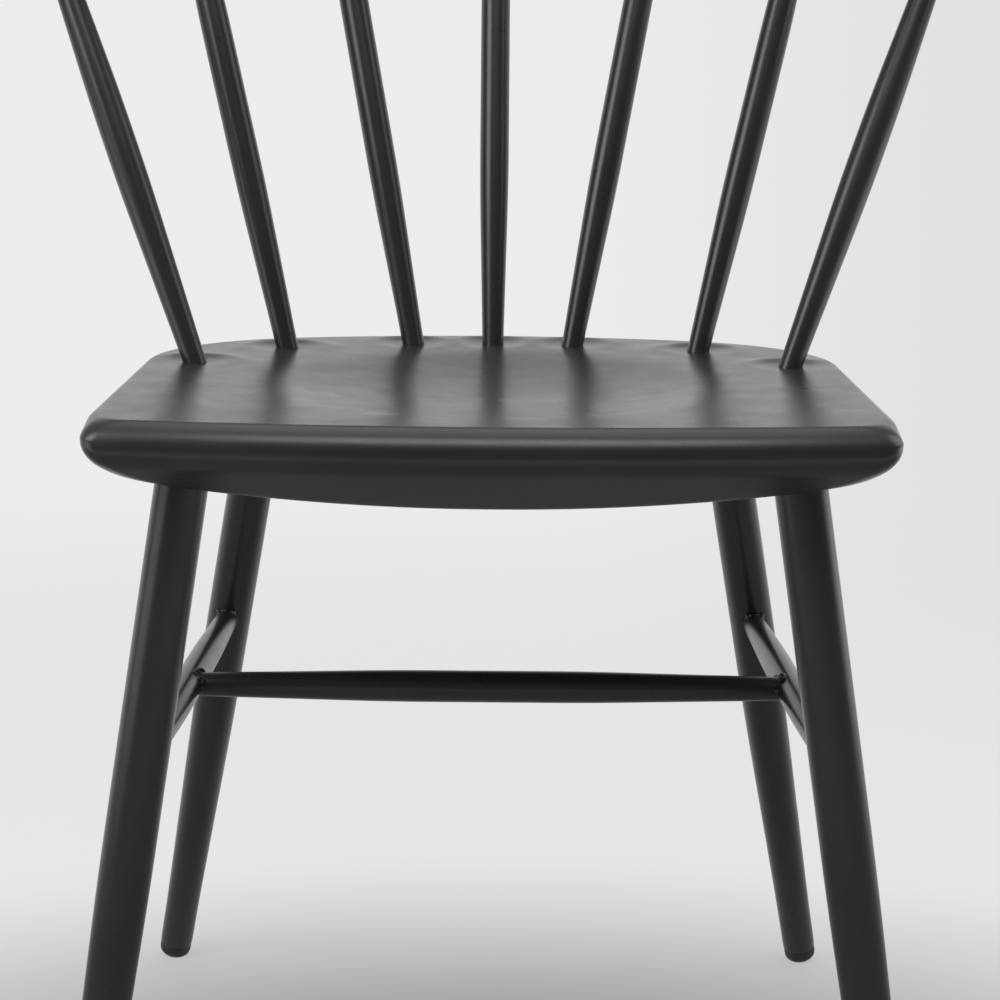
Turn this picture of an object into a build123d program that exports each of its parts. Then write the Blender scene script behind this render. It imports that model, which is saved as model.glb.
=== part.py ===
from build123d import *
import math
import os

os.makedirs("parts", exist_ok=True)

# Dining chair of welded steel: a pressed seat of two pans, four splayed tube legs with an H stretcher,
# and a back of seven tapered spindles under a bent crest rail.
# Millimetres, +Z up, the chair faces -Y, left and right are as seen from the front.
# The origin lies on the floor under the middle of the chair.

# Seat, measured on its outer skin
seat_height = 457.0
seat_width = 419.0
seat_depth = 389.0
seat_thickness = 46.0
seat_sheet = 1.6
front_bow = 17.5
back_radius = 460.0
front_corner = 10.0
back_corner = 112.0
rim_radius = 8.0
seam_drop = 10.0
side_bevel_width = 28.0
side_bevel_height = 24.0
chamfer_angle = 42.0
chamfer_start = 5.5
chamfer_blend = 4.0
belly_radius = 1320.0
belly_margin = 2.0
belly_corner = 30.0

# Oval dish in the seat's top
dish_side_margin = 87.5
dish_front_margin = 41.0
dish_back_margin = 73.0
dish_depth = 9.0
dish_clear = 2.0

# Legs
leg_diameter = 28.4
leg_foot_diameter = 22.4
leg_wall = 1.5
leg_taper_top = 201.0
leg_taper_bottom = 42.0
leg_head_drop = 22.0
front_leg_side_inset = 52.3
front_leg_front_inset = 67.0
front_leg_splay_side = 66.7
front_leg_splay_front = 53.6
rear_leg_side_inset = 71.2
rear_leg_back_inset = 65.8
rear_leg_splay_side = 87.2
rear_leg_splay_back = 130.4

# Glides in the legs' lower ends
glide_height = 11.0
glide_lip = 0.4
glide_dome = 13.0
glide_sink = 1.4
glide_plug = 18.0

# Angle bars inside the seat that carry the legs
rail_width = 36.0
rail_overhang = 20.0
rail_sheet = 2.0

# Stretchers
stretcher_height = 269.4
stretcher_diameter = 19.0
stretcher_end_diameter = 13.8
stretcher_wall = 1.2
side_stretcher_taper = 105.0
cross_stretcher_taper = 122.0
cross_stretcher_share = 0.477

# Spindles, from the middle one outwards
spindle_diameter = 18.6
outer_spindle_diameter = 19.6
spindle_end_diameter = 13.6
spindle_wall = 1.2
spindle_taper = 104.0
outer_spindle_taper = 112.0
spindle_insert = 14.0
middle_spindle_back_inset = 36.0
inner_spindle_offset = 51.1
inner_spindle_back_inset = 40.1
second_spindle_side_inset = 79.7
second_spindle_back_inset = 64.4
outer_spindle_side_inset = 30.0
outer_spindle_back_inset = 135.0
inner_spindle_angle = 21.55
second_spindle_angle = 40.34
outer_spindle_angle = 61.0

# Band under the top pan that the spindles pass through
band_sheet = 2.5
band_edge_inset = 12.0
band_width = 42.0
band_end_overlap = 22.0

# Crest rail, an arc in a plane that tilts up towards the back
crest_diameter = 25.0
crest_wall = 1.5
crest_flare = 66.9
crest_tilt = 33.0
crest_rise = 358.0
crest_setback = 59.0
crest_overhang = 26.0
crest_plug = 8.0

# Weld beads and the clearance between pieces
leg_bead = 2.0
stretcher_bead = 4.5
crest_bead = 3.0
spindle_bead = 3.5
bead_lip = 0.5
fit_gap = 0.3

# Derived places
reach = 4000.0
half_width = seat_width / 2
dish_width = seat_width - 2 * dish_side_margin
dish_length = seat_depth - dish_front_margin - dish_back_margin
glide_radius = leg_foot_diameter / 2 - glide_lip
rear_run = rear_leg_splay_back / seat_height
rear_foot_out = seat_depth - rear_leg_back_inset + rear_leg_splay_back
rear_heel = leg_foot_diameter / 2 * math.hypot(1, rear_run)
front_y = -(rear_foot_out - rear_run * glide_height + rear_heel) / 2
back_y = front_y + seat_depth
front_radius = (half_width ** 2 + front_bow ** 2) / (2 * front_bow)
chamfer_run = math.tan(math.radians(chamfer_angle))
mirror_plane = Plane.YZ


def sag(radius, half):
    return radius - math.sqrt(radius ** 2 - half ** 2)


def slab(low, high):
    block = Box(reach, reach, high - low, align=(Align.CENTER, Align.CENTER, Align.MIN))
    return Pos(0, 0, low) * block


def outline(front_in, side_in, back_in, corner, rear_corner):
    half = half_width - side_in
    front = front_y + front_in
    front_end = front + sag(front_radius, half)
    back = back_y - back_in
    back_end = back - sag(back_radius - back_in, half)
    face = make_face(
        [
            ThreePointArc((-half, front_end), (0, front), (half, front_end)),
            Line((half, front_end), (half, back_end)),
            ThreePointArc((half, back_end), (0, back), (-half, back_end)),
            Line((-half, back_end), (-half, front_end)),
        ]
    )
    face = fillet(face.vertices().group_by(Axis.Y)[0], corner)
    return fillet(face.vertices().group_by(Axis.Y)[-1], rear_corner)


def chamfer_inset(drop, inset):
    lean = math.hypot(drop - chamfer_start, chamfer_blend)
    lean_at_seam = math.hypot(chamfer_start, chamfer_blend)
    run = chamfer_run * (lean + drop - lean_at_seam) / 2
    slope = chamfer_run * (1 + (drop - chamfer_start) / lean) / 2
    return run + inset * math.hypot(1, slope)


def side_inset(drop, inset):
    share = drop / (side_bevel_height - inset)
    return inset + (side_bevel_width - inset) * (1 - math.sqrt(1 - share ** 2))


def belly_half(drop, inset):
    below_axis = belly_radius - seat_thickness + seam_drop + drop
    return math.sqrt((belly_radius - inset) ** 2 - below_axis ** 2)


def section(drop, side, inset):
    end = chamfer_inset(drop, inset)
    corner = min(front_corner + side / 2, belly_corner)
    rear_corner = max(back_corner - (end + side) / 2, belly_corner)
    face = outline(end, side, end, corner, rear_corner)
    return Pos(0, 0, seat_height - seam_drop - drop) * face


def seat_body(inset):
    rim = outline(inset, inset, inset, front_corner, back_corner - inset)
    rim = Pos(0, 0, seat_height - seam_drop) * rim
    body = extrude(rim, seam_drop - inset)
    top = body.faces().sort_by(Axis.Z)[-1]
    body = fillet(top.edges(), rim_radius - inset)
    deepest = side_bevel_height - inset
    drops = [share * deepest for share in (0.0, 0.15, 0.3, 0.45, 0.6, 0.75, 0.87, 0.94)]
    body += loft([section(drop, side_inset(drop, inset), inset) for drop in drops])
    low = drops[-1]
    low_side = side_inset(low, inset)
    floor_drop = seat_thickness - seam_drop - inset
    steps = [low + share * (floor_drop - low) for share in (0.25, 0.5, 0.75)]
    lower = [section(low, low_side, inset)]
    lower += [section(drop, half_width - belly_half(drop, inset) - belly_margin, inset) for drop in steps]
    lower += [section(floor_drop, half_width - belly_half(steps[-1], inset), inset)]
    body += loft(lower, ruled=True)
    belly = Cylinder(belly_radius - inset, reach, rotation=(90, 0, 0))
    return body & (Pos(0, 0, seat_height - seat_thickness + belly_radius) * belly)


def dish(inset):
    radius = (dish_width ** 2 / 4 + dish_depth ** 2) / (2 * dish_depth)
    across = radius + inset
    along = radius * dish_length / dish_width + inset
    bowl = scale(Sphere(across), by=(1, along / across, 1))
    dish_y = front_y + dish_front_margin + dish_length / 2
    return Pos(0, dish_y, seat_height - dish_depth + radius) * bowl


def turned(start, end, stations, grow=0.0):
    points = [(0, stations[0][0])]
    points += [(diameter / 2 + grow, along) for along, diameter in stations]
    points += [(0, stations[-1][0])]
    profile = make_face(Plane.XZ * Polyline(points, close=True))
    solid = revolve(profile, Axis.Z)
    return Plane(origin=start, z_dir=end - start).location * solid


def tube(start, end, stations, wall):
    return turned(start, end, stations) - turned(start, end, stations, -wall)


def bead(start, end, touch, diameter, size):
    stations = [
        (touch / 2, diameter + 2 * size),
        (touch, diameter + 2 * size),
        (touch + size + bead_lip, diameter + 2 * bead_lip),
    ]
    return turned(start, end, stations)


def pair(shape):
    return [shape, mirror(shape, about=mirror_plane)]


def group(shapes):
    return Compound([solid for shape in shapes for solid in shape.solids()])


nodes = {}

# Seat pans: one skin all round, parted along the widest line, with the dish kept in the top pan
skin = (seat_body(0) - dish(0)) - (seat_body(seat_sheet) - dish(seat_sheet))
seam_z = seat_height - seam_drop
dish_zone = outline(
    band_edge_inset, band_edge_inset, band_edge_inset, front_corner, back_corner - band_edge_inset
)
dish_floor = seat_sheet + dish_depth + dish_clear - seam_drop
upper = slab(seam_z, seam_z + reach)
upper += extrude(Pos(0, 0, seam_z) * dish_zone, dish_floor, dir=(0, 0, -1))
top_pan = skin & upper
bottom_pan = skin - upper
cavity = seat_body(seat_sheet + fit_gap) - dish(seat_sheet + fit_gap)
seat_block = seat_body(0)

# Legs: the axes run from the floor up to the seat's top plane
front_head = Vector(half_width - front_leg_side_inset, front_y + front_leg_front_inset, seat_height)
front_foot = front_head + Vector(front_leg_splay_side, -front_leg_splay_front, -seat_height)
rear_head = Vector(half_width - rear_leg_side_inset, back_y - rear_leg_back_inset, seat_height)
rear_foot = rear_head + Vector(rear_leg_splay_side, rear_leg_splay_back, -seat_height)
head_z = seat_height - leg_head_drop


def at_height(foot, head, z):
    return foot + (head - foot) * (z / seat_height)


def leg_stations(foot, head):
    stretch = (head - foot).length / seat_height
    return [
        (glide_height * stretch, leg_foot_diameter),
        (leg_taper_bottom * stretch, leg_foot_diameter),
        (leg_taper_top * stretch, leg_diameter),
        (seat_height * stretch, leg_diameter),
    ]


def glide(foot, head):
    stretch = (head - foot).length / seat_height
    width = 2 * glide_radius
    centre = glide_dome - glide_sink
    plug = leg_foot_diameter - 2 * leg_wall - 2 * fit_gap
    body = turned(foot, head, [(-glide_dome, width), (glide_height * stretch, width)])
    body = body & (Pos(at_height(foot, head, centre)) * Sphere(glide_dome))
    body += turned(foot, head, [(glide_height * stretch / 2, plug), ((glide_height + glide_plug) * stretch, plug)])
    return body - slab(-reach, 0)


leg_solids = {}
leg_beads = []
leg_rows = (("front", front_foot, front_head, 1), ("rear", rear_foot, rear_head, -1))
for name, foot, head, inward in leg_rows:
    stations = leg_stations(foot, head)
    leg_solids[name] = turned(foot, head, stations)
    right_leg = tube(foot, head, stations, leg_wall) - slab(head_z, head_z + reach)
    right_glide = glide(foot, head)
    nodes[name + "_right_leg"] = right_leg
    nodes[name + "_left_leg"] = mirror(right_leg, about=mirror_plane)
    nodes[name + "_right_glide"] = right_glide
    nodes[name + "_left_glide"] = mirror(right_glide, about=mirror_plane)
    hole = turned(foot, head, stations, fit_gap)
    for side in pair(hole):
        bottom_pan -= side
    up = at_height(foot, head, head_z)
    low = at_height(foot, head, 0)
    drop = (up - low).length - (head_z - seat_height + seat_thickness)
    collar = turned(
        foot,
        head,
        [
            (drop - leg_bead - bead_lip, leg_diameter + 2 * bead_lip),
            (drop + seat_thickness / 4, leg_diameter + 2 * leg_bead),
            (drop + seat_thickness / 2, leg_diameter + 2 * leg_bead),
        ],
    )
    leg_beads += pair(collar - seat_block - leg_solids[name])
    rail_length = 2 * (up.X + rail_overhang)
    web = Box(rail_length, rail_width, rail_sheet, align=(Align.CENTER, Align.CENTER, Align.MIN))
    flange = Box(rail_length, rail_sheet, leg_head_drop, align=(Align.CENTER, Align.CENTER, Align.MIN))
    flange_y = inward * (rail_width - rail_sheet) / 2
    angle_bar = web + Pos(0, flange_y, 0) * flange
    nodes[name + "_leg_rail"] = (Pos(0, up.Y, head_z) * angle_bar) & cavity
nodes["leg_welds"] = group(leg_beads)

# Stretchers: one along each side between the legs, one across between those two
side_front = at_height(front_foot, front_head, stretcher_height)
side_rear = at_height(rear_foot, rear_head, stretcher_height)
side_length = (side_rear - side_front).length
side_stations = [
    (0, stretcher_end_diameter),
    (side_stretcher_taper, stretcher_diameter),
    (side_length - side_stretcher_taper, stretcher_diameter),
    (side_length, stretcher_end_diameter),
]
side_solid = turned(side_front, side_rear, side_stations)
side_tube = tube(side_front, side_rear, side_stations, stretcher_wall)
side_tube = side_tube - leg_solids["front"] - leg_solids["rear"]
nodes["right_side_stretcher"] = side_tube
nodes["left_side_stretcher"] = mirror(side_tube, about=mirror_plane)
leg_touch = leg_diameter / 2
side_beads = []
for start, end, name in ((side_front, side_rear, "front"), (side_rear, side_front, "rear")):
    ring = bead(start, end, leg_touch, stretcher_end_diameter, stretcher_bead)
    side_beads += pair(ring - leg_solids[name] - side_solid)
nodes["side_stretcher_welds"] = group(side_beads)

cross_right = side_front + (side_rear - side_front) * cross_stretcher_share
cross_left = Vector(-cross_right.X, cross_right.Y, cross_right.Z)
cross_length = 2 * cross_right.X
cross_stations = [
    (0, stretcher_end_diameter),
    (cross_stretcher_taper, stretcher_diameter),
    (cross_length - cross_stretcher_taper, stretcher_diameter),
    (cross_length, stretcher_end_diameter),
]
cross_solid = turned(cross_left, cross_right, cross_stations)
cross_tube = tube(cross_left, cross_right, cross_stations, stretcher_wall)
for side in pair(side_solid):
    cross_tube -= side
nodes["cross_stretcher"] = cross_tube
ring = bead(cross_right, cross_left, stretcher_diameter / 2, stretcher_end_diameter, stretcher_bead)
nodes["cross_stretcher_welds"] = group(pair(ring - side_solid - cross_solid))

# Crest rail: a tube bent to an arc, closed at each end by a domed plug
tilt = math.radians(crest_tilt)
crest_radius = (half_width + crest_flare) / math.sin(math.radians(outer_spindle_angle))
crest_top = Vector(0, back_y + crest_setback, seat_height + crest_rise)
crest_centre = crest_top - Vector(0, math.cos(tilt), math.sin(tilt)) * crest_radius
crest_normal = Vector(0, -math.sin(tilt), math.cos(tilt))
crest_axis = Axis(crest_centre, crest_normal)
end_angle = math.radians(outer_spindle_angle) + crest_overhang / crest_radius


def crest_point(angle):
    out = Vector(math.sin(angle), math.cos(angle) * math.cos(tilt), math.cos(angle) * math.sin(tilt))
    return crest_centre + out * crest_radius


crest_end = crest_point(end_angle)
crest_out = crest_end - crest_centre
crest_tangent = crest_out.cross(crest_normal).normalized()
crest_plane = Plane(origin=crest_end, x_dir=crest_out, z_dir=-crest_tangent)
crest_sweep = math.degrees(2 * end_angle)
crest_solid = revolve(crest_plane * Circle(crest_diameter / 2), crest_axis, crest_sweep)
crest_bore = revolve(crest_plane * Circle(crest_diameter / 2 - crest_wall), crest_axis, crest_sweep)
nodes["crest_rail"] = crest_solid - crest_bore
plug_radius = crest_diameter / 2 - crest_wall - fit_gap
dome = Sphere(crest_diameter / 2) & slab(0, reach)
dome += Cylinder(plug_radius, crest_plug, align=(Align.CENTER, Align.CENTER, Align.MAX))
right_cap = Plane(origin=crest_end, x_dir=crest_out, z_dir=crest_tangent).location * dome
nodes["crest_right_cap"] = right_cap
nodes["crest_left_cap"] = mirror(right_cap, about=mirror_plane)

# Spindles: base on the seat's top plane, head on the crest rail's centre line
band_low = seat_height - seat_sheet - band_sheet
band = outline(
    band_edge_inset, band_edge_inset, band_edge_inset, front_corner, back_corner - band_edge_inset
)
band_inner = band_edge_inset + band_width
band -= outline(band_inner, band_inner, band_inner, front_corner, back_corner - band_inner)
band_room = extrude(Pos(0, 0, band_low - fit_gap) * offset(band, fit_gap), reach)
band = extrude(Pos(0, 0, band_low) * band, band_sheet)
nodes["rear_leg_rail"] -= band_room
outer_y = back_y - outer_spindle_back_inset
band -= Pos(0, outer_y - band_end_overlap - reach / 2, band_low) * Box(reach, reach, reach)
spindle_rows = (
    (4, 0.0, middle_spindle_back_inset, 0.0, spindle_diameter, spindle_taper),
    (5, inner_spindle_offset, inner_spindle_back_inset, inner_spindle_angle, spindle_diameter, spindle_taper),
    (
        6,
        half_width - second_spindle_side_inset,
        second_spindle_back_inset,
        second_spindle_angle,
        spindle_diameter,
        spindle_taper,
    ),
    (
        7,
        half_width - outer_spindle_side_inset,
        outer_spindle_back_inset,
        outer_spindle_angle,
        outer_spindle_diameter,
        outer_spindle_taper,
    ),
)
base_beads = []
head_beads = []
for number, base_x, back_inset, angle, diameter, taper in spindle_rows:
    base = Vector(base_x, back_y - back_inset, seat_height)
    head = crest_point(math.radians(angle))
    length = (head - base).length
    stations = [
        (-spindle_insert, spindle_end_diameter),
        (0, spindle_end_diameter),
        (taper, diameter),
        (length - crest_diameter / 2 - taper, diameter),
        (length - crest_diameter / 2, spindle_end_diameter),
        (length, spindle_end_diameter),
    ]
    solid = turned(base, head, stations)
    hole = turned(base, head, stations, fit_gap)
    spindle = tube(base, head, stations, spindle_wall) - crest_solid
    head_bead = bead(head, base, crest_diameter / 2, spindle_end_diameter, crest_bead)
    head_bead = head_bead - crest_solid - solid
    base_bead = turned(
        base,
        head,
        [
            (-seat_sheet - band_sheet - spindle_bead - bead_lip, spindle_end_diameter + 2 * bead_lip),
            (-seat_sheet - band_sheet, spindle_end_diameter + 2 * spindle_bead),
            (0, spindle_end_diameter + 2 * spindle_bead),
        ],
    )
    base_bead = base_bead - slab(band_low, band_low + reach) - solid
    nodes["spindle_" + str(number)] = spindle
    base_beads += [base_bead]
    head_beads += [head_bead]
    top_pan -= hole
    band -= hole
    if number > 4:
        nodes["spindle_" + str(8 - number)] = mirror(spindle, about=mirror_plane)
        base_beads += [mirror(base_bead, about=mirror_plane)]
        head_beads += [mirror(head_bead, about=mirror_plane)]
        top_pan -= mirror(hole, about=mirror_plane)
        band -= mirror(hole, about=mirror_plane)
nodes["spindle_welds"] = group(base_beads)
nodes["crest_welds"] = group(head_beads)
nodes["spindle_band"] = band
nodes["seat_top_pan"] = top_pan
nodes["seat_bottom_pan"] = bottom_pan

for name, shape in nodes.items():
    export_step(shape, "parts/" + name + ".step")
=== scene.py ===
import bpy
import bmesh
from math import asin, atan2, cos, exp, hypot, pi, radians, sin, sqrt, tan
from mathutils import Matrix, Vector, noise
from mathutils.bvhtree import BVHTree


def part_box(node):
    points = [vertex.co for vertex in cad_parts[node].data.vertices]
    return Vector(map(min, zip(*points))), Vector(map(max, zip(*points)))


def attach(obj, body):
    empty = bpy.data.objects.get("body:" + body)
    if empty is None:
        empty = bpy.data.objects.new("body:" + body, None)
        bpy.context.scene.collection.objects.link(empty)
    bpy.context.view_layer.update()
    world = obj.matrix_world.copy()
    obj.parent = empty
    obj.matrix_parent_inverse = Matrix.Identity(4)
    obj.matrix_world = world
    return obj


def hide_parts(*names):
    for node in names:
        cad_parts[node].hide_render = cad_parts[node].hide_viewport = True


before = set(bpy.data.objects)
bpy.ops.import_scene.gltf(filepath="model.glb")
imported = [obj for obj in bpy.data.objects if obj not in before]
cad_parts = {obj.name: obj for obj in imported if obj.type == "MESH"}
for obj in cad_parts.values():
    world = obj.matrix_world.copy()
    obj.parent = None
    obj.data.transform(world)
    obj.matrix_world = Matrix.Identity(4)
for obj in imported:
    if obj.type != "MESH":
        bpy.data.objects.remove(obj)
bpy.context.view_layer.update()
scene = bpy.context.scene
scene.view_settings.view_transform = "Standard"

seatLow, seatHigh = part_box("seat_top_pan")
seatTop = seatHigh[2]
frontY, backY = seatLow[1], seatHigh[1]
halfWidth = seatHigh[0]
print("frame: seat top", round(seatTop, 4), "front", round(frontY, 4), "back", round(backY, 4))


# Node materials
def addNode(tree, kind, settings=None, **sockets):
    node = tree.nodes.new(kind)
    for key, value in (settings or {}).items():
        setattr(node, key, value)
    for key, value in sockets.items():
        socket = node.inputs[int(key[2:])] if key.startswith("in") else node.inputs[key]
        if hasattr(value, "is_output"):
            tree.links.new(value, socket)
        else:
            socket.default_value = value
    return node


def newMaterial(name):
    material = bpy.data.materials.new(name)
    material.use_nodes = True
    tree = material.node_tree
    shader = tree.nodes["Principled BSDF"]
    place = addNode(tree, "ShaderNodeTexCoord").outputs["Object"]
    return material, tree, shader, place


def speckle(tree, place, scale, detail, rough=0.5):
    node = addNode(tree, "ShaderNodeTexNoise", Vector=place, Scale=scale, Detail=detail, Roughness=rough)
    return node.outputs["Fac"]


def spread(tree, value, low, high, fromLow=0.3, fromHigh=0.7):
    node = addNode(tree, "ShaderNodeMapRange", in0=value, in1=fromLow, in2=fromHigh, in3=low, in4=high)
    return node.outputs[0]


def tint(tree, value, dark, light):
    node = addNode(tree, "ShaderNodeMix", {"data_type": "RGBA"}, in0=value, in6=(*dark, 1), in7=(*light, 1))
    return node.outputs[2]


def relief(tree, height, strength, depth, under=None):
    node = addNode(tree, "ShaderNodeBump", Strength=strength, Distance=depth, Height=height)
    if under:
        tree.links.new(under, node.inputs["Normal"])
    return node.outputs["Normal"]


# each noise is (scale, detail, roughness)
coatLook = {"dark": (0.0150, 0.0152, 0.0166), "light": (0.0205, 0.0207, 0.0224), "rough": (0.265, 0.320),
            "cloudNoise": (17.0, 4.0), "patchNoise": (42.0, 5.0, 0.6), "toneRange": (0.45, 1.0),
            "peelNoise": (620.0, 1.5), "peel": 0.09, "peelDepth": 0.00012,
            "grainNoise": (2600.0, 2.0), "grain": 0.04, "grainDepth": 0.00002, "grainShare": 0.45,
            "waveNoise": (26.0, 1.0), "waveDepth": 0.0006, "seatWave": 0.045,
            "weldRough": 0.05, "weldPeel": 1.8}


def satinCoat(name, look, roughLift=0.0, peelLift=1.0, wave=0.0):
    material, tree, shader, place = newMaterial(name)
    cloud = speckle(tree, place, *look["cloudNoise"])
    fine = speckle(tree, place, *look["grainNoise"])
    tone = addNode(tree, "ShaderNodeMath", {"operation": "MULTIPLY_ADD"}, in0=fine, in1=look["grainShare"],
                   in2=cloud).outputs[0]
    shade = spread(tree, tone, 0.0, 1.0, *look["toneRange"])
    tree.links.new(tint(tree, shade, look["dark"], look["light"]), shader.inputs["Base Color"])
    low, high = look["rough"]
    patches = speckle(tree, place, *look["patchNoise"])
    tree.links.new(spread(tree, patches, low + roughLift, high + roughLift), shader.inputs["Roughness"])
    sheet = None
    if wave:
        sheet = relief(tree, speckle(tree, place, *look["waveNoise"]), wave, look["waveDepth"])
    bumps = speckle(tree, place, *look["peelNoise"])
    peel = relief(tree, bumps, look["peel"] * peelLift, look["peelDepth"], sheet)
    grain = relief(tree, fine, look["grain"] * peelLift, look["grainDepth"], peel)
    tree.links.new(grain, shader.inputs["Normal"])
    return material


steelLook = {"dark": (0.050, 0.051, 0.054), "light": (0.085, 0.086, 0.089), "rough": (0.45, 0.62),
             "metal": 0.55, "cloudNoise": (30.0, 5.0, 0.6), "grainNoise": (1500.0, 3.0), "grain": 0.2,
             "grainDepth": 0.00004}


def innerSteel(look):
    material, tree, shader, place = newMaterial("innerSteel")
    cloud = speckle(tree, place, *look["cloudNoise"])
    shade = spread(tree, cloud, 0.0, 1.0)
    tree.links.new(tint(tree, shade, look["dark"], look["light"]), shader.inputs["Base Color"])
    tree.links.new(spread(tree, cloud, *look["rough"]), shader.inputs["Roughness"])
    shader.inputs["Metallic"].default_value = look["metal"]
    grain = relief(tree, speckle(tree, place, *look["grainNoise"]), look["grain"], look["grainDepth"])
    tree.links.new(grain, shader.inputs["Normal"])
    return material


plasticLook = {"dark": (0.0125, 0.0125, 0.0130), "light": (0.060, 0.059, 0.057), "rough": (0.46, 0.58),
               "scuffHeight": (0.0005, 0.004), "scuffNoise": (900.0, 4.0, 0.7), "scuffRange": (0.42, 0.62),
               "patchNoise": (300.0, 3.0), "grainNoise": (2400.0, 2.0), "grain": 0.25, "grainDepth": 0.00003}


def glidePlastic(look):
    material, tree, shader, place = newMaterial("glidePlastic")
    height = addNode(tree, "ShaderNodeSeparateXYZ", Vector=place).outputs["Z"]
    scuffed = spread(tree, height, 1.0, 0.0, *look["scuffHeight"])  # rubbed pale near the floor
    marks = spread(tree, speckle(tree, place, *look["scuffNoise"]), 0.0, 1.0, *look["scuffRange"])
    wear = addNode(tree, "ShaderNodeMath", {"operation": "MULTIPLY"}, in0=scuffed, in1=marks).outputs[0]
    tree.links.new(tint(tree, wear, look["dark"], look["light"]), shader.inputs["Base Color"])
    patches = speckle(tree, place, *look["patchNoise"])
    tree.links.new(spread(tree, patches, *look["rough"]), shader.inputs["Roughness"])
    grain = relief(tree, speckle(tree, place, *look["grainNoise"]), look["grain"], look["grainDepth"])
    tree.links.new(grain, shader.inputs["Normal"])
    return material


seatCoat = satinCoat("seatCoat", coatLook, wave=coatLook["seatWave"])  # pressed sheet is never quite flat
tubeCoat = satinCoat("tubeCoat", coatLook)
weldCoat = satinCoat("weldCoat", coatLook, coatLook["weldRough"], coatLook["weldPeel"])
rawSteel = innerSteel(steelLook)
footPlastic = glidePlastic(plasticLook)
print("materials: seat, tube and weld coats, inner steel, glide plastic")


# Pieces
creaseAngle = radians(35.0)  # tube ends stay sharp, so that their shading doesn't run along the tube
mergeGap = 1e-6


def finishPiece(bm, name, material, slot, *nodes):
    bmesh.ops.remove_doubles(bm, verts=bm.verts, dist=mergeGap)
    bmesh.ops.recalc_face_normals(bm, faces=bm.faces)
    for face in bm.faces:
        face.smooth = True
    for edge in bm.edges:
        edge.smooth = edge.calc_face_angle(0.0) < creaseAngle
    mesh = bpy.data.meshes.new(name)
    bm.to_mesh(mesh)
    bm.free()
    mesh.materials.append(material)
    piece = bpy.data.objects.new(name, mesh)
    scene.collection.objects.link(piece)
    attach(piece, "root")
    if nodes:
        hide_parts(*nodes)
    return piece


def softMax(a, b, blend):
    return (a + b + sqrt((a - b) ** 2 + blend ** 2)) / 2


def sag(radius, half):
    return radius - sqrt(radius ** 2 - half ** 2)


# Seat: rings laid from the seam down under the belly, then from the seam over the rim into the dish
seat = {"thickness": 0.046, "seamDrop": 0.010, "frontBow": 0.0175, "backRadius": 0.460,
        "frontCorner": 0.010, "backCorner": 0.112, "cornerGrow": 0.4, "backShrink": 0.8,
        "sideRim": 0.0048, "rimChange": 0.030,
        "nose": 0.016, "noseTop": 76.0, "chin": 0.012, "chinTop": 5.0, "chamferAngle": 49.0,
        "bevelWidth": 0.037, "bevelHeight": 0.0258, "bevelPower": 1.8, "bevelShare": 0.93,
        "underIn": 0.016, "underDrop": 0.006, "bellyRadius": 1.22, "bellyBlend": 0.0012, "blendDrop": 0.012,
        "topStart": 0.002, "topBand": 0.048, "dishWidth": 0.244, "dishLength": 0.275, "dishDepth": 0.0102,
        "dishMargin": 0.041, "frontSoft": 0.016, "sideSoft": 0.30, "puckerDepth": 0.0012,
        "puckerReach": 0.015, "lipRise": 0.0015, "lipAway": 0.025, "lipWidth": 0.0065}
seatRings = {"bevel": 18, "under": 14, "belly": 24, "rim": 12, "band": 15, "dish": 40,
             "bevelCrowd": 0.9, "settle": 4, "bellyShrink": 0.97, "dishShrink": 0.98}
outlineSteps = {"front": 44, "corner": 18, "side": 40, "rearCorner": 36, "back": 24}
seamZ = seatTop - seat["seamDrop"]
noseTop = radians(seat["noseTop"])  # the nose meets the top at a soft crease
noseTurn = asin(sin(noseTop) - seat["seamDrop"] / seat["nose"])
frontRadius = (halfWidth ** 2 + seat["frontBow"] ** 2) / (2 * seat["frontBow"])
dishY = frontY + seat["dishMargin"] + seat["dishLength"] / 2


def arcPoints(x, y, radius, start, end, count):
    angles = [start + (end - start) * k / count for k in range(count)]
    return [(x + radius * cos(a), y + radius * sin(a)) for a in angles]


def seatOutline(endIn, sideIn, corner, rearCorner):
    half = halfWidth - sideIn
    frontMid = frontY + endIn + frontRadius
    backRadius = seat["backRadius"] - endIn
    backMid = backY - endIn - backRadius
    cornerX = half - corner
    cornerY = frontMid - sqrt((frontRadius - corner) ** 2 - cornerX ** 2)
    rearX = half - rearCorner
    rearY = backMid + sqrt((backRadius - rearCorner) ** 2 - rearX ** 2)
    frontTurn = atan2(cornerY - frontMid, cornerX)
    backTurn = atan2(rearY - backMid, rearX)
    run = outlineSteps["side"]
    points = arcPoints(0, frontMid, frontRadius, -pi / 2, frontTurn, outlineSteps["front"])
    points += arcPoints(cornerX, cornerY, corner, frontTurn, 0, outlineSteps["corner"])
    points += [(half, cornerY + (rearY - cornerY) * k / run) for k in range(run)]
    points += arcPoints(rearX, rearY, rearCorner, 0, backTurn, outlineSteps["rearCorner"])
    points += arcPoints(0, backMid, backRadius, backTurn, pi / 2, outlineSteps["back"])
    points += [(0, backY - endIn)]
    return points + [(-x, y) for x, y in points[-2:0:-1]]


# how far the front edge stands back from the seam: over the nose, and under it past the chin
def noseIn(turn):
    return seat["nose"] * (cos(noseTurn) - cos(turn))


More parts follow.
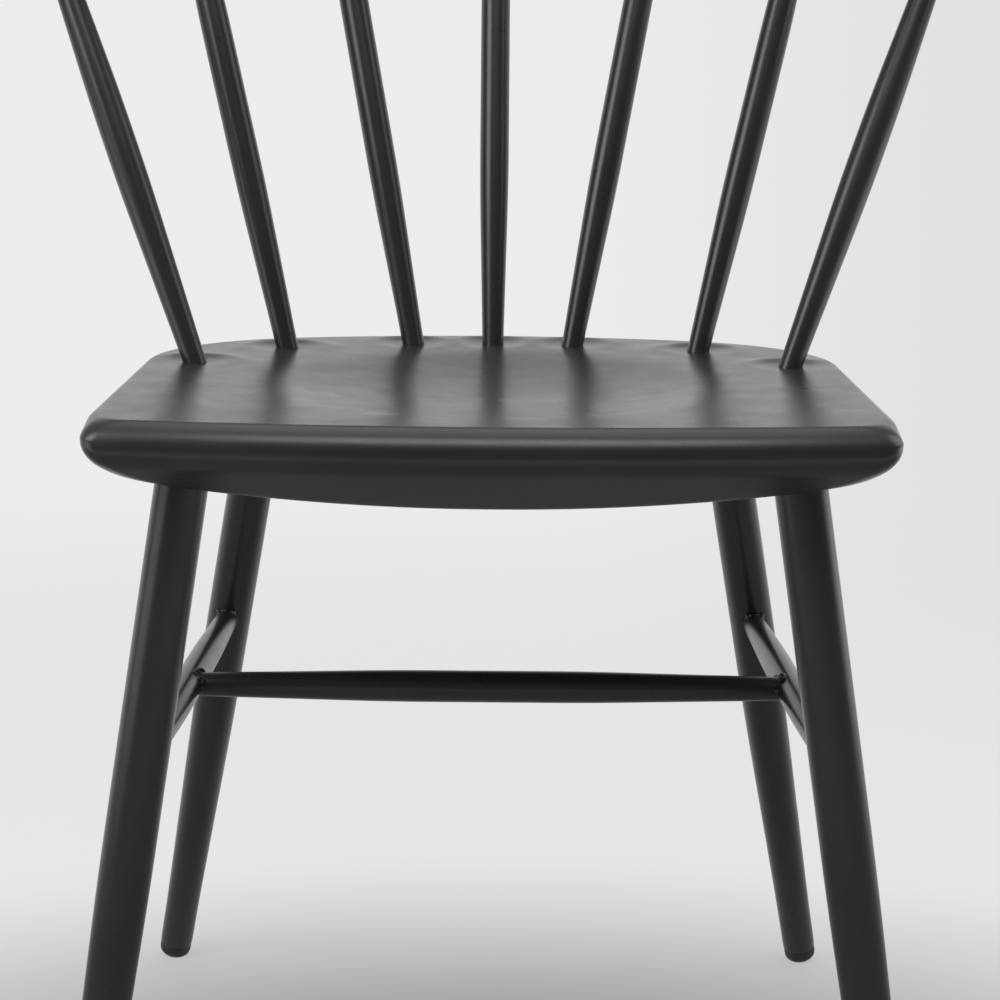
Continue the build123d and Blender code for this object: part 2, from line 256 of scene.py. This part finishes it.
def chamferIn(drop):
    chinTop = radians(seat["chinTop"])
    slope = radians(seat["chamferAngle"])
    chinDrop = seat["nose"] * (sin(noseTurn) - sin(chinTop))
    slopeDrop = chinDrop + seat["chin"] * (sin(chinTop) + sin(slope))
    if drop < chinDrop:
        return noseIn(asin(sin(noseTurn) - drop / seat["nose"]))
    turn = max(sin(chinTop) - (drop - chinDrop) / seat["chin"], -sin(slope))
    chinIn = seat["chin"] * (cos(chinTop) - cos(asin(turn)))
    return noseIn(chinTop) + chinIn + max(drop - slopeDrop, 0.0) * tan(slope)


def bevelIn(drop):
    power = seat["bevelPower"]
    return seat["bevelWidth"] * (1 - (1 - (drop / seat["bevelHeight"]) ** power) ** (1 / power))


def frontShare(x, y):
    behind = y - frontY - sag(frontRadius, min(abs(x), halfWidth))
    return min(1.0, max(0.0, 1 - behind / seat["rimChange"]))


def dishDrop(x, y):
    across = x / (seat["dishWidth"] / 2)
    along = (y - dishY) / (seat["dishLength"] / 2)
    reach = hypot(across, along)
    facing = max(0.0, -along / reach) if reach > 0 else 0.0
    soft = seat["sideSoft"] + (seat["frontSoft"] - seat["sideSoft"]) * facing ** 2
    bowl = 1 - reach ** 2
    return seat["dishDepth"] * (bowl + sqrt(bowl ** 2 + soft ** 2)) / 2


def puckerDrop(x, y, bases):
    total = 0.0
    for base in bases:
        away = hypot(x - base.x, y - base.y)
        total += seat["puckerDepth"] * exp(-(away / seat["puckerReach"]) ** 2)
        rear = (1 + (y - base.y) / max(away, 0.001)) / 2
        total -= seat["lipRise"] * rear * exp(-((away - seat["lipAway"]) / seat["lipWidth"]) ** 2)
    return total


def layRing(bm, ring, points):
    grown = bmesh.ops.extrude_edge_only(bm, edges=ring["edges"])["geom"]
    fresh = {g for g in grown if isinstance(g, bmesh.types.BMVert)}
    verts = []
    for vert, point in zip(ring["verts"], points):
        step = next(e.other_vert(vert) for e in vert.link_edges if e.other_vert(vert) in fresh)
        step.co = point
        verts.append(step)
    edges = [g for g in grown if isinstance(g, bmesh.types.BMEdge) and set(g.verts) <= fresh]
    return {"verts": verts, "edges": edges}


def buildSeat(bases):
    bm = bmesh.new()
    count = len(seatOutline(0, 0, seat["frontCorner"], seat["backCorner"]))
    bmesh.ops.create_circle(bm, segments=count, radius=halfWidth)
    bm.verts.ensure_lookup_table()
    bm.edges.ensure_lookup_table()
    seam = {"verts": list(bm.verts), "edges": list(bm.edges)}

    def underRing(drop, endIn, sideIn, shrink=0.0):
        corner = seat["frontCorner"] + sideIn / 2
        rearCorner = seat["backCorner"] - (endIn + sideIn) / 2
        points = []
        for x, y in seatOutline(endIn, sideIn, corner, rearCorner):
            x, y = x * (1 - shrink), dishY + (y - dishY) * (1 - shrink)
            crown = seatTop - seat["thickness"] + sag(seat["bellyRadius"], x)
            blend = seat["bellyBlend"] * min(1.0, drop / seat["blendDrop"])
            points.append((x, y, softMax(seamZ - drop, crown, blend)))
        return points

    for vert, point in zip(seam["verts"], underRing(0.0, 0.0, 0.0)):
        vert.co = point
    ring = seam
    lowDrop = seat["bevelShare"] * seat["bevelHeight"]
    for k in range(1, seatRings["bevel"] + 1):
        drop = lowDrop * sin(k / seatRings["bevel"] * pi / 2) ** seatRings["bevelCrowd"]
        ring = layRing(bm, ring, underRing(drop, chamferIn(drop), bevelIn(drop)))
    fullDrop = seat["thickness"] - seat["seamDrop"]
    lowIn = bevelIn(lowDrop)
    for k in range(1, seatRings["under"] + 1):
        drop = lowDrop + (fullDrop - lowDrop) * k / seatRings["under"]
        sideIn = lowIn + seat["underIn"] * k / seatRings["under"]
        ring = layRing(bm, ring, underRing(drop, chamferIn(drop), sideIn))
    for k in range(1, seatRings["belly"] + 1):
        shrink = seatRings["bellyShrink"] * k / seatRings["belly"]
        drop = fullDrop + seat["underDrop"] * min(1.0, k / seatRings["settle"])
        ring = layRing(bm, ring, underRing(drop, chamferIn(fullDrop), lowIn + seat["underIn"], shrink))
    bmesh.ops.poke(bm, faces=bmesh.ops.contextual_create(bm, geom=ring["edges"])["faces"])

    def flatRing(inset):
        corner = seat["frontCorner"] + seat["cornerGrow"] * inset
        return seatOutline(inset, inset, corner, seat["backCorner"] - seat["backShrink"] * inset)

    def rimRing(step):
        points = []
        turn = step * pi / 2
        upTurn = noseTurn + step * (noseTop - noseTurn)
        front = flatRing(noseIn(upTurn))
        side = flatRing(seat["sideRim"] * (1 - cos(turn)))
        frontLift = seat["nose"] * (sin(upTurn) - sin(noseTurn))
        sideLift = seat["seamDrop"] - seat["sideRim"] * (1 - sin(turn))
        for (x, y), (a, b), (c, d) in zip(flatRing(0.0), front, side):
            share = frontShare(x, y)
            lift = sideLift + (frontLift - sideLift) * share
            points.append((c + (a - c) * share, d + (b - d) * share, seamZ + lift))
        return points

    def topRing(inset, shrink=0.0):
        points = []
        for x, y in flatRing(inset):
            x, y = x * (1 - shrink), dishY + (y - dishY) * (1 - shrink)
            points.append((x, y, seatTop - dishDrop(x, y) - puckerDrop(x, y, bases)))
        return points

    ring = seam
    for k in range(seatRings["rim"] + 1):
        ring = layRing(bm, ring, rimRing(k / seatRings["rim"]))
    start = noseIn(noseTop) + seat["topStart"]
    for k in range(seatRings["band"] + 1):
        ring = layRing(bm, ring, topRing(start + seat["topBand"] * k / seatRings["band"]))
    for k in range(1, seatRings["dish"] + 1):
        shrink = seatRings["dishShrink"] * k / seatRings["dish"]
        ring = layRing(bm, ring, topRing(start + seat["topBand"], shrink))
    bmesh.ops.poke(bm, faces=bmesh.ops.contextual_create(bm, geom=ring["edges"])["faces"])
    tree = BVHTree.FromBMesh(bm)
    return finishPiece(bm, "seatShell", seatCoat, "seat_coat", "seat_top_pan", "seat_bottom_pan"), tree


# Tubes: a profile of (distance along, radius) points spun about the tube's own line
tubeMesh = {"steps": 72, "easeSteps": 6, "glideSteps": 64, "domeRings": 12, "crestSegments": 56,
            "crestSteps": 180, "capRings": 16}


def axisTurn(start, end):
    return Matrix.Translation(start) @ (end - start).to_track_quat("Z", "Y").to_matrix().to_4x4()


def softProfile(stations, ease):
    points = [stations[0]]
    for before, here, after in zip(stations, stations[1:], stations[2:]):
        back = min(ease, (here[0] - before[0]) / 2)
        on = min(ease, (after[0] - here[0]) / 2)
        first = (here[0] - back, here[1] + (before[1] - here[1]) * back / max(here[0] - before[0], 1e-9))
        last = (here[0] + on, here[1] + (after[1] - here[1]) * on / max(after[0] - here[0], 1e-9))
        for k in range(tubeMesh["easeSteps"] + 1):
            t = k / tubeMesh["easeSteps"]
            points.append(tuple((1 - t) ** 2 * a + 2 * t * (1 - t) * b + t * t * c
                                for a, b, c in zip(first, here, last)))
    return points + [stations[-1]]


def spinProfile(bm, profile, steps):
    verts = [bm.verts.new((radius, 0, along)) for along, radius in profile]
    edges = [bm.edges.new(pair) for pair in zip(verts, verts[1:])]
    bmesh.ops.spin(bm, geom=verts + edges, cent=(0, 0, 0), axis=(0, 0, 1), angle=2 * pi, steps=steps,
                   use_merge=True)


def buildTube(name, start, end, stations, ease, slot, *nodes):
    bm = bmesh.new()
    profile = [(stations[0][0], 0.0)] + softProfile(stations, ease) + [(stations[-1][0], 0.0)]
    spinProfile(bm, profile, tubeMesh["steps"])
    bmesh.ops.transform(bm, matrix=axisTurn(start, end), verts=bm.verts)
    bmesh.ops.remove_doubles(bm, verts=bm.verts, dist=mergeGap)
    tree = BVHTree.FromBMesh(bm)
    finishPiece(bm, name, tubeCoat, slot, *nodes)
    return tree


leg = {"radius": 0.0142, "footRadius": 0.0112, "taperTop": 0.201, "taperBottom": 0.042, "ease": 0.030,
       "endRound": 0.0006, "headDrop": 0.022,
       "front": {"sideIn": 0.0523, "endIn": 0.067, "splaySide": 0.0667, "splayEnd": 0.0536},
       "rear": {"sideIn": 0.0712, "endIn": 0.0658, "splaySide": 0.0872, "splayEnd": 0.1304}}
glide = {"height": 0.011, "lip": 0.0004, "dome": 0.013, "sink": 0.0014, "edge": 0.0040, "groove": 0.0005}
sideNames = (("left", -1), ("right", 1))


def legLine(row, side):
    plan = leg[row]
    head = Vector((side * (halfWidth - plan["sideIn"]), 0, seatTop))
    head.y = frontY + plan["endIn"] if row == "front" else backY - plan["endIn"]
    out = -plan["splayEnd"] if row == "front" else plan["splayEnd"]
    return head + Vector((side * plan["splaySide"], out, -seatTop)), head


def buildLeg(row, sideName, side):
    foot, head = legLine(row, side)
    stretch = (head - foot).length / seatTop
    low = glide["height"] * stretch
    stations = [(low, leg["footRadius"] - leg["endRound"]), (low + leg["endRound"], leg["footRadius"]),
                (leg["taperBottom"] * stretch, leg["footRadius"]),
                (leg["taperTop"] * stretch, leg["radius"]),
                ((seatTop - leg["headDrop"]) * stretch, leg["radius"])]
    name = row + sideName.capitalize() + "Leg"
    return buildTube(name, foot, head, stations, leg["ease"], "frame_coat", row + "_" + sideName + "_leg")


def buildGlide(row, sideName, side):
    foot, head = legLine(row, side)
    stretch = (head - foot).length / seatTop
    radius = leg["footRadius"] - glide["lip"]
    centre = (glide["dome"] - glide["sink"]) * stretch
    top = glide["height"] * stretch
    reach = asin(radius / glide["dome"])
    dome = glide["dome"]
    rings = tubeMesh["domeRings"]
    profile = [(centre - dome * cos(reach * k / rings), dome * sin(reach * k / rings))
               for k in range(rings + 1)]
    wall = [(profile[-1][0], radius), (top - glide["groove"], radius)]
    profile = softProfile(profile[:-2] + wall, glide["edge"])
    profile += [(top, radius - glide["groove"]), (top, 0.0)]
    bm = bmesh.new()
    spinProfile(bm, profile, tubeMesh["glideSteps"])
    bmesh.ops.transform(bm, matrix=axisTurn(foot, head), verts=bm.verts)
    bmesh.ops.remove_doubles(bm, verts=bm.verts, dist=mergeGap)
    everything = list(bm.verts) + list(bm.edges) + list(bm.faces)
    cut = bmesh.ops.bisect_plane(bm, geom=everything, plane_co=(0, 0, 0), plane_no=(0, 0, -1),
                                 clear_outer=True)
    rimEdges = [g for g in cut["geom_cut"] if isinstance(g, bmesh.types.BMEdge)]
    bmesh.ops.contextual_create(bm, geom=rimEdges)
    finishPiece(bm, row + sideName.capitalize() + "Glide", footPlastic, "glide_plastic",
                row + "_" + sideName + "_glide")


# Weld beads: a small ring spun round the joining tube, slid along to where it meets the other piece,
# thin below and swelling into a few dabs near the top
bellBase = 2.72  # how steeply a dab falls away on both sides


def dabHeight(turn, bead):
    height = bead["base"]
    for middle, width, rise in bead["dabs"]:
        off = (turn - radians(middle) + pi) % (2 * pi) - pi
        height += rise * bellBase ** (-(off / radians(width)) ** 2)
    return height


beadMesh = {"segments": 14, "steps": 120, "thinnest": 0.15, "lumpTurn": 2.1, "lumpScale": 2.3,
            "roughScale": 800, "search": 1.2}


def weldBead(bm, start, end, radius, target, bead, seed):
    turn = axisTurn(start, end)
    ahead = (end - start).normalized()
    reach = (end - start).length
    sideways = turn.to_3x3()
    topTurn = atan2(sideways.col[1].z, sideways.col[0].z)
    part = bmesh.new()
    ring = bmesh.ops.create_circle(part, segments=beadMesh["segments"], radius=bead["size"])["verts"]
    stand = Matrix.Translation((radius, 0, 0)) @ Matrix.Rotation(pi / 2, 4, "X")
    bmesh.ops.transform(part, matrix=stand, verts=ring)
    bmesh.ops.spin(part, geom=list(part.verts) + list(part.edges), cent=(0, 0, 0), axis=(0, 0, 1),
                   angle=2 * pi, steps=beadMesh["steps"], use_merge=True)
    bmesh.ops.remove_doubles(part, verts=part.verts, dist=mergeGap)
    hits = {}
    lastHit = reach
    for vert in part.verts:
        angle = round(atan2(vert.co.y, vert.co.x), 4)
        outward = Vector((cos(angle), sin(angle), 0))
        if angle not in hits:
            hit = target.ray_cast(turn @ (outward * (radius + bead["size"] / 3)), ahead,
                                  reach * beadMesh["search"])
            hits[angle] = hit[3] if hit[0] is not None else lastHit
            lastHit = hits[angle]
        spot = outward * beadMesh["lumpTurn"] + Vector((0, 0, seed))
        swell = dabHeight(angle - topTurn, bead) + bead["lump"] * noise.noise(spot * beadMesh["lumpScale"])
        swell *= 1 + bead["ripple"] * sin(angle * bead["scales"] + seed)
        pit = noise.noise(Vector(vert.co) * beadMesh["roughScale"] + Vector((seed, 0, 0)))
        swell = max(swell, beadMesh["thinnest"]) + bead["rough"] * pit
        core = outward * radius
        vert.co = core + (vert.co - core) * swell + Vector((0, 0, hits[angle]))
    bmesh.ops.transform(part, matrix=turn, verts=part.verts)
    mesh = bpy.data.meshes.new("bead")
    part.to_mesh(mesh)
    part.free()
    bm.from_mesh(mesh)
    bpy.data.meshes.remove(mesh)


stretcher = {"height": 0.2694, "radius": 0.0095, "endRadius": 0.0069, "sideRadius": 0.0090,
             "sideTaper": 0.105, "crossTaper": 0.122, "crossShare": 0.477, "ease": 0.022}
# each dab is (degrees from the top, width in degrees, rise)
sideBead = {"size": 0.0021, "base": 0.34, "dabs": ((-38, 12, 1.0), (40, 11, 1.0), (165, 30, 0.25)),
            "ripple": 0.05, "scales": 13, "lump": 0.12, "rough": 0.03}
crossBead = {"size": 0.0024, "base": 0.48,
             "dabs": ((-52, 15, 0.8), (-12, 13, 0.65), (34, 12, 0.95), (78, 14, 0.6)),
             "ripple": 0.08, "scales": 15, "lump": 0.22, "rough": 0.05}
legBead = {"size": 0.0011, "base": 0.75, "dabs": (),
           "ripple": 0.08, "scales": 31, "lump": 0.15, "rough": 0.04}
crestBead = {"size": 0.0020, "base": 0.70, "dabs": ((-90, 25, 0.3), (90, 25, 0.3)),
             "ripple": 0.10, "scales": 13, "lump": 0.18, "rough": 0.06}


def sideStretcherLine(side):
    foot, head = legLine("front", side)
    start = foot.lerp(head, stretcher["height"] / seatTop)
    foot, head = legLine("rear", side)
    return start, foot.lerp(head, stretcher["height"] / seatTop)


def taperedBar(length, taper, radius, endRadius):
    return [(0, endRadius), (taper, radius), (length - taper, radius), (length, endRadius)]


crest = {"radius": 0.0125, "flare": 0.0669, "tilt": 33.0, "rise": 0.358, "setback": 0.059, "overhang": 0.026,
         "capGroove": 0.0006, "capRound": 0.0125}
spindle = {"radius": 0.0093, "outerRadius": 0.0098, "endRadius": 0.0068, "taper": 0.104, "outerTaper": 0.112,
           "insert": 0.012, "ease": 0.024, "outerAngle": 61.0}
# number, in from the seat's side or else out from its middle, in from its back, degrees along the crest
spindleRows = ((4, None, 0.0, 0.036, 0.0), (5, None, 0.0511, 0.0401, 21.55),
               (6, 0.0797, None, 0.0644, 40.34), (7, 0.0300, None, 0.135, spindle["outerAngle"]))
crestReach = (halfWidth + crest["flare"]) / sin(radians(spindle["outerAngle"]))
crestTilt = radians(crest["tilt"])
crestUp = Vector((0, -sin(crestTilt), cos(crestTilt)))
crestBack = Vector((0, cos(crestTilt), sin(crestTilt)))
crestMid = Vector((0, backY + crest["setback"], seatTop + crest["rise"])) - crestBack * crestReach
crestEnd = radians(spindle["outerAngle"]) + crest["overhang"] / crestReach


def crestPoint(angle):
    return crestMid + (Vector((1, 0, 0)) * sin(angle) + crestBack * cos(angle)) * crestReach


def spindleLine(row, side):
    sideIn, offset, backIn, angle = row[1:]
    x = offset if sideIn is None else halfWidth - sideIn
    return Vector((side * x, backY - backIn, seatTop)), crestPoint(side * radians(angle))


def spindleLines():
    lines = {}
    for row in spindleRows:
        lines[row[0]] = spindleLine(row, 1)
        lines[8 - row[0]] = spindleLine(row, -1)
    return lines


def buildSpindle(number, base, head):
    outer = number in (1, 7)
    length = (head - base).length
    radius = spindle["outerRadius"] if outer else spindle["radius"]
    taper = spindle["outerTaper"] if outer else spindle["taper"]
    end = length - crest["radius"]
    stations = [(-spindle["insert"], spindle["endRadius"]), (0, spindle["endRadius"]), (taper, radius),
                (end - taper, radius), (end, spindle["endRadius"]), (length, spindle["endRadius"])]
    buildTube("spindle" + str(number), base, head, stations, spindle["ease"], "frame_coat",
              "spindle_" + str(number))


def buildCrest():
    bm = bmesh.new()
    ring = bmesh.ops.create_circle(bm, segments=tubeMesh["crestSegments"], radius=crest["radius"])["verts"]
    end = crestPoint(-crestEnd)
    out = (end - crestMid).normalized()
    turn = Matrix((out, crestUp, out.cross(crestUp))).transposed().to_4x4()
    bmesh.ops.transform(bm, matrix=Matrix.Translation(end) @ turn, verts=ring)
    bmesh.ops.spin(bm, geom=list(bm.verts) + list(bm.edges), cent=crestMid, axis=crestUp,
                   angle=-2 * crestEnd, steps=tubeMesh["crestSteps"])
    rims = [e for e in bm.edges if e.is_boundary]
    bmesh.ops.holes_fill(bm, edges=rims, sides=0)
    tree = BVHTree.FromBMesh(bm)
    finishPiece(bm, "crestRail", tubeCoat, "frame_coat", "crest_rail")
    return tree


def buildCap(sideName, side):
    end = crestPoint(side * crestEnd)
    ahead = (end - crestMid).normalized().cross(crestUp) * side
    radius, groove = crest["radius"], crest["capGroove"]
    profile = [(-groove, 0.0), (-groove, radius - groove), (0.0, radius - groove), (groove, radius)]
    turns = [k / tubeMesh["capRings"] * pi / 2 for k in range(1, tubeMesh["capRings"] + 1)]
    profile += [(groove + (crest["capRound"] - groove) * sin(t), radius * cos(t)) for t in turns]
    bm = bmesh.new()
    spinProfile(bm, profile, tubeMesh["crestSegments"])
    bmesh.ops.transform(bm, matrix=axisTurn(end, end + ahead), verts=bm.verts)
    finishPiece(bm, "crest" + sideName.capitalize() + "Cap", tubeCoat, "frame_coat",
                "crest_" + sideName + "_cap")


# Building the chair
lines = spindleLines()
seatPiece, seatTree = buildSeat([line[0] for line in lines.values()])
print("seat:", len(seatPiece.data.polygons), "faces")

legTrees = {}
legWelds = bmesh.new()
for row in ("front", "rear"):
    for sideName, side in sideNames:
        legTrees[row, side] = buildLeg(row, sideName, side)
        buildGlide(row, sideName, side)
        foot, head = legLine(row, side)
        weldBead(legWelds, foot, head, leg["radius"], seatTree, legBead, 1.7 * side + len(row))
finishPiece(legWelds, "legWelds", weldCoat, "weld_coat", "leg_welds")
print("legs: four tubes with their glides and welds")

sideWelds = bmesh.new()
crossWelds = bmesh.new()
crossEnds = {}
for sideName, side in sideNames:
    start, end = sideStretcherLine(side)
    bar = taperedBar((end - start).length, stretcher["sideTaper"], stretcher["sideRadius"],
                     stretcher["endRadius"])
    barTree = buildTube(sideName + "SideStretcher", start, end, bar, stretcher["ease"], "frame_coat",
                        sideName + "_side_stretcher")
    middle = start.lerp(end, 0.5)
    weldBead(sideWelds, middle, start, stretcher["endRadius"], legTrees["front", side], sideBead, 2.0 + side)
    weldBead(sideWelds, middle, end, stretcher["endRadius"], legTrees["rear", side], sideBead, 5.0 + side)
    crossEnds[side] = start.lerp(end, stretcher["crossShare"])
    inner = Vector((0, crossEnds[side].y, crossEnds[side].z))
    weldBead(crossWelds, inner, crossEnds[side], stretcher["endRadius"], barTree, crossBead, 8.0 + side)
span = 2 * crossEnds[1].x
bar = taperedBar(span, stretcher["crossTaper"], stretcher["radius"], stretcher["endRadius"])
buildTube("crossStretcher", crossEnds[-1], crossEnds[1], bar, stretcher["ease"], "frame_coat",
          "cross_stretcher")
finishPiece(sideWelds, "sideStretcherWelds", weldCoat, "weld_coat", "side_stretcher_welds")
finishPiece(crossWelds, "crossStretcherWelds", weldCoat, "weld_coat", "cross_stretcher_welds")
print("stretchers: two sides and a cross bar")

crestTree = buildCrest()
crestWelds = bmesh.new()
for number, (base, head) in lines.items():
    buildSpindle(number, base, head)
    weldBead(crestWelds, base.lerp(head, 0.5), head, spindle["endRadius"], crestTree, crestBead, number)
for sideName, side in sideNames:
    buildCap(sideName, side)
finishPiece(crestWelds, "crestWelds", weldCoat, "weld_coat", "crest_welds")
print("back: seven spindles, crest rail and caps")

for name in ("front_leg_rail", "rear_leg_rail", "spindle_band", "spindle_welds"):
    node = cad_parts[name]
    node.data.materials.clear()
    node.data.materials.append(rawSteel)
print("inside the seat: two leg rails, the spindle band and its welds")


# Floor, light and camera
def ramp(tree, value, start, end, low=0.0, high=1.0):
    node = addNode(tree, "ShaderNodeMapRange", {"interpolation_type": "SMOOTHSTEP"}, in0=value, in1=start,
                   in2=end, in3=low, in4=high)
    return node.outputs[0]


# the floor's glow runs from a painted shade colour near the chair to the pale floor colour further out
floorLook = {"size": 4.0, "paper": (0.78, 0.78, 0.79), "rough": 0.9, "shine": 0.1,
             "near": (0.226, 0.223, 0.233), "far": (0.86, 0.86, 0.865), "shadeReach": 0.45,
             "shadeSpread": 0.55, "glow": 0.75, "edgeStart": 0.9, "edgeEnd": 2.2}


def buildFloor(look):
    bm = bmesh.new()
    bmesh.ops.create_grid(bm, x_segments=2, y_segments=2, size=look["size"])
    mesh = bpy.data.meshes.new("studioFloor")
    bm.to_mesh(mesh)
    bm.free()
    floor = bpy.data.objects.new("studioFloor", mesh)
    scene.collection.objects.link(floor)
    material, tree, shader, place = newMaterial("floorPaper")
    mesh.materials.append(material)
    parts = addNode(tree, "ShaderNodeSeparateXYZ", Vector=place)
    shader.inputs["Base Color"].default_value = (*look["paper"], 1)
    shader.inputs["Roughness"].default_value = look["rough"]
    shader.inputs["Specular IOR Level"].default_value = look["shine"]
    path = addNode(tree, "ShaderNodeLightPath")
    # painted shadow: the floor's glow paints a soft pool of shade under the chair for the camera, and a
    # darker front half of the room that the coat mirrors
    flat = addNode(tree, "ShaderNodeVectorMath", {"operation": "MULTIPLY"}, in0=place,
                   in1=(look["shadeSpread"], 1, 1))
    pool = addNode(tree, "ShaderNodeVectorMath", {"operation": "LENGTH"}, in0=flat.outputs[0])
    paintedPool = ramp(tree, pool.outputs["Value"], 0.0, look["shadeReach"])
    behind = ramp(tree, parts.outputs["Y"], 0.0, look["shadeReach"])
    away = addNode(tree, "ShaderNodeMix", {"data_type": "FLOAT"}, in0=path.outputs["Is Camera Ray"],
                   in2=behind, in3=paintedPool).outputs[0]
    # painted shade: dark in the pool under the chair, and for reflections in the front half of the room
    shade = tint(tree, away, look["near"], look["far"])
    glow = addNode(tree, "ShaderNodeEmission", Color=shade, Strength=1.0)
    seen = addNode(tree, "ShaderNodeMath", {"operation": "MAXIMUM"}, in0=path.outputs["Is Camera Ray"],
                   in1=path.outputs["Is Glossy Ray"]).outputs[0]
    share = addNode(tree, "ShaderNodeMath", {"operation": "MULTIPLY"}, in0=seen, in1=look["glow"]).outputs[0]
    lit = addNode(tree, "ShaderNodeMixShader", in0=share, in1=shader.outputs[0], in2=glow.outputs[0])
    reach = addNode(tree, "ShaderNodeVectorMath", {"operation": "LENGTH"}, in0=place).outputs["Value"]
    clear = addNode(tree, "ShaderNodeBsdfTransparent")
    edge = ramp(tree, reach, look["edgeStart"], look["edgeEnd"])
    blend = addNode(tree, "ShaderNodeMixShader", in0=edge, in1=lit.outputs[0], in2=clear.outputs[0])
    tree.links.new(blend.outputs[0], tree.nodes["Material Output"].inputs["Surface"])


studio = {"ceiling": 0.62, "front": 0.14, "frontTop": (0.55, 0.95), "floor": 0.75, "horizon": (-0.15, 0.0),
          "backdrop": (0.846, 0.846, 0.850), "shadedSide": (0.745, 0.745, 0.750), "sideReach": 0.24,
          "backdropTop": 0.50, "backdropFade": 0.28, "backdropEdge": 0.6,
          "wallLow": 1.0, "wallHigh": 0.78, "wallRise": (0.10, 0.40)}


def buildWorld(look):
    world = bpy.data.worlds.new("studio")
    scene.world = world
    world.use_nodes = True
    tree = world.node_tree
    tree.nodes.clear()
    ray = addNode(tree, "ShaderNodeTexCoord").outputs["Generated"]
    parts = addNode(tree, "ShaderNodeSeparateXYZ", Vector=ray)
    across, along, rise = parts.outputs
    # painted shade: the backdrop that the camera sees is darker towards the right side
    paper = tint(tree, ramp(tree, across, 0.0, look["sideReach"]), look["backdrop"], look["shadedSide"])
    top, fade = look["backdropTop"], look["backdropFade"]
    low = ramp(tree, rise, top - fade, top + fade, 1.0, 0.0)
    behind = ramp(tree, along, 0.0, look["backdropEdge"])
    share = addNode(tree, "ShaderNodeMath", {"operation": "MULTIPLY"}, in0=low, in1=behind).outputs[0]
    upper = tint(tree, ramp(tree, rise, *look["frontTop"]), (look["front"],) * 3, (look["ceiling"],) * 3)
    room = addNode(tree, "ShaderNodeMix", {"data_type": "RGBA"}, in0=ramp(tree, rise, *look["horizon"]),
                   in6=(*(look["floor"],) * 3, 1), in7=upper).outputs[2]
    wall = tint(tree, ramp(tree, rise, *look["wallRise"]), (look["wallLow"],) * 3, (look["wallHigh"],) * 3)
    whole = addNode(tree, "ShaderNodeMix", {"data_type": "RGBA"}, in0=share, in6=room, in7=wall).outputs[2]
    studioGlow = addNode(tree, "ShaderNodeBackground", Color=whole)
    plain = addNode(tree, "ShaderNodeBackground", Color=paper)
    seen = addNode(tree, "ShaderNodeLightPath").outputs["Is Camera Ray"]
    blend = addNode(tree, "ShaderNodeMixShader", in0=seen, in1=studioGlow.outputs[0], in2=plain.outputs[0])
    out = addNode(tree, "ShaderNodeOutputWorld")
    tree.links.new(blend.outputs[0], out.inputs["Surface"])


lamps = {
    "leftSoftbox": {"place": (-0.95, -0.50, 1.22), "aim": (0, 0, 1.22),
                    "size": (0.70, 0.76), "radiance": 4.6},
    "leftPanel": {"place": (-0.95, -0.45, 0.44), "aim": (0, 0, 0.44),
                  "size": (0.60, 0.36), "radiance": 1.3},
    "rightSoftbox": {"place": (0.85, 0.05, 1.05), "aim": (0, 0, 1.05),
                     "size": (0.60, 0.66), "radiance": 1.7},
    "rightPanel": {"place": (0.85, 0.05, 0.40), "aim": (0, 0, 0.40),
                   "size": (0.50, 0.34), "radiance": 0.9},
    "frontBank": {"place": (0, -0.96, 1.92), "aim": (0, -0.10, 0.45),
                  "size": (1.20, 0.60), "radiance": 4.0},
    "topBank": {"place": (0, 0.45, 1.95), "aim": (0, 0.451, 0),
                "size": (1.20, 1.50), "radiance": 0.9}}


def addLamp(name, setup):
    data = bpy.data.lights.new(name, "AREA")
    data.shape = "RECTANGLE"
    data.size, data.size_y = setup["size"]
    data.energy = setup["radiance"] * pi * data.size * data.size_y
    lamp = bpy.data.objects.new(name, data)
    place = Vector(setup["place"])
    aim = (Vector(setup["aim"]) - place).to_track_quat("-Z", "Y")
    lamp.matrix_world = Matrix.Translation(place) @ aim.to_matrix().to_4x4()
    lamp.visible_camera = False
    scene.collection.objects.link(lamp)


cameraSetup = {"back": 1.17125, "side": 0.00032, "height": 0.64958, "yaw": 0.0034, "pitch": 0.1918,
               "roll": 0.0092, "lens": 85.89, "sensor": 36.0, "clipEnd": 200.0}


def addCamera(setup):
    yaw, pitch, roll = setup["yaw"], setup["pitch"], setup["roll"]
    ahead = Vector((sin(yaw), cos(yaw), 0))
    side = Vector((cos(yaw), -sin(yaw), 0))
    zUp = Vector((0, 0, 1))
    look = ahead * cos(pitch) - zUp * sin(pitch)
    up = zUp * cos(pitch) + ahead * sin(pitch)
    right = side * cos(roll) + up * sin(roll)
    top = up * cos(roll) - side * sin(roll)
    data = bpy.data.cameras.new("photoCamera")
    data.lens = setup["lens"]
    data.sensor_width = setup["sensor"]
    data.clip_end = setup["clipEnd"]
    camera = bpy.data.objects.new("photoCamera", data)
    turn = Matrix((right, top, -look)).transposed().to_4x4()
    camera.matrix_world = Matrix.Translation((setup["side"], frontY - setup["back"], setup["height"])) @ turn
    scene.collection.objects.link(camera)
    scene.camera = camera


buildFloor(floorLook)
buildWorld(studio)
for name, setup in lamps.items():
    addLamp(name, setup)
addCamera(cameraSetup)
print("studio: floor, backdrop,", len(lamps), "lamps and camera")
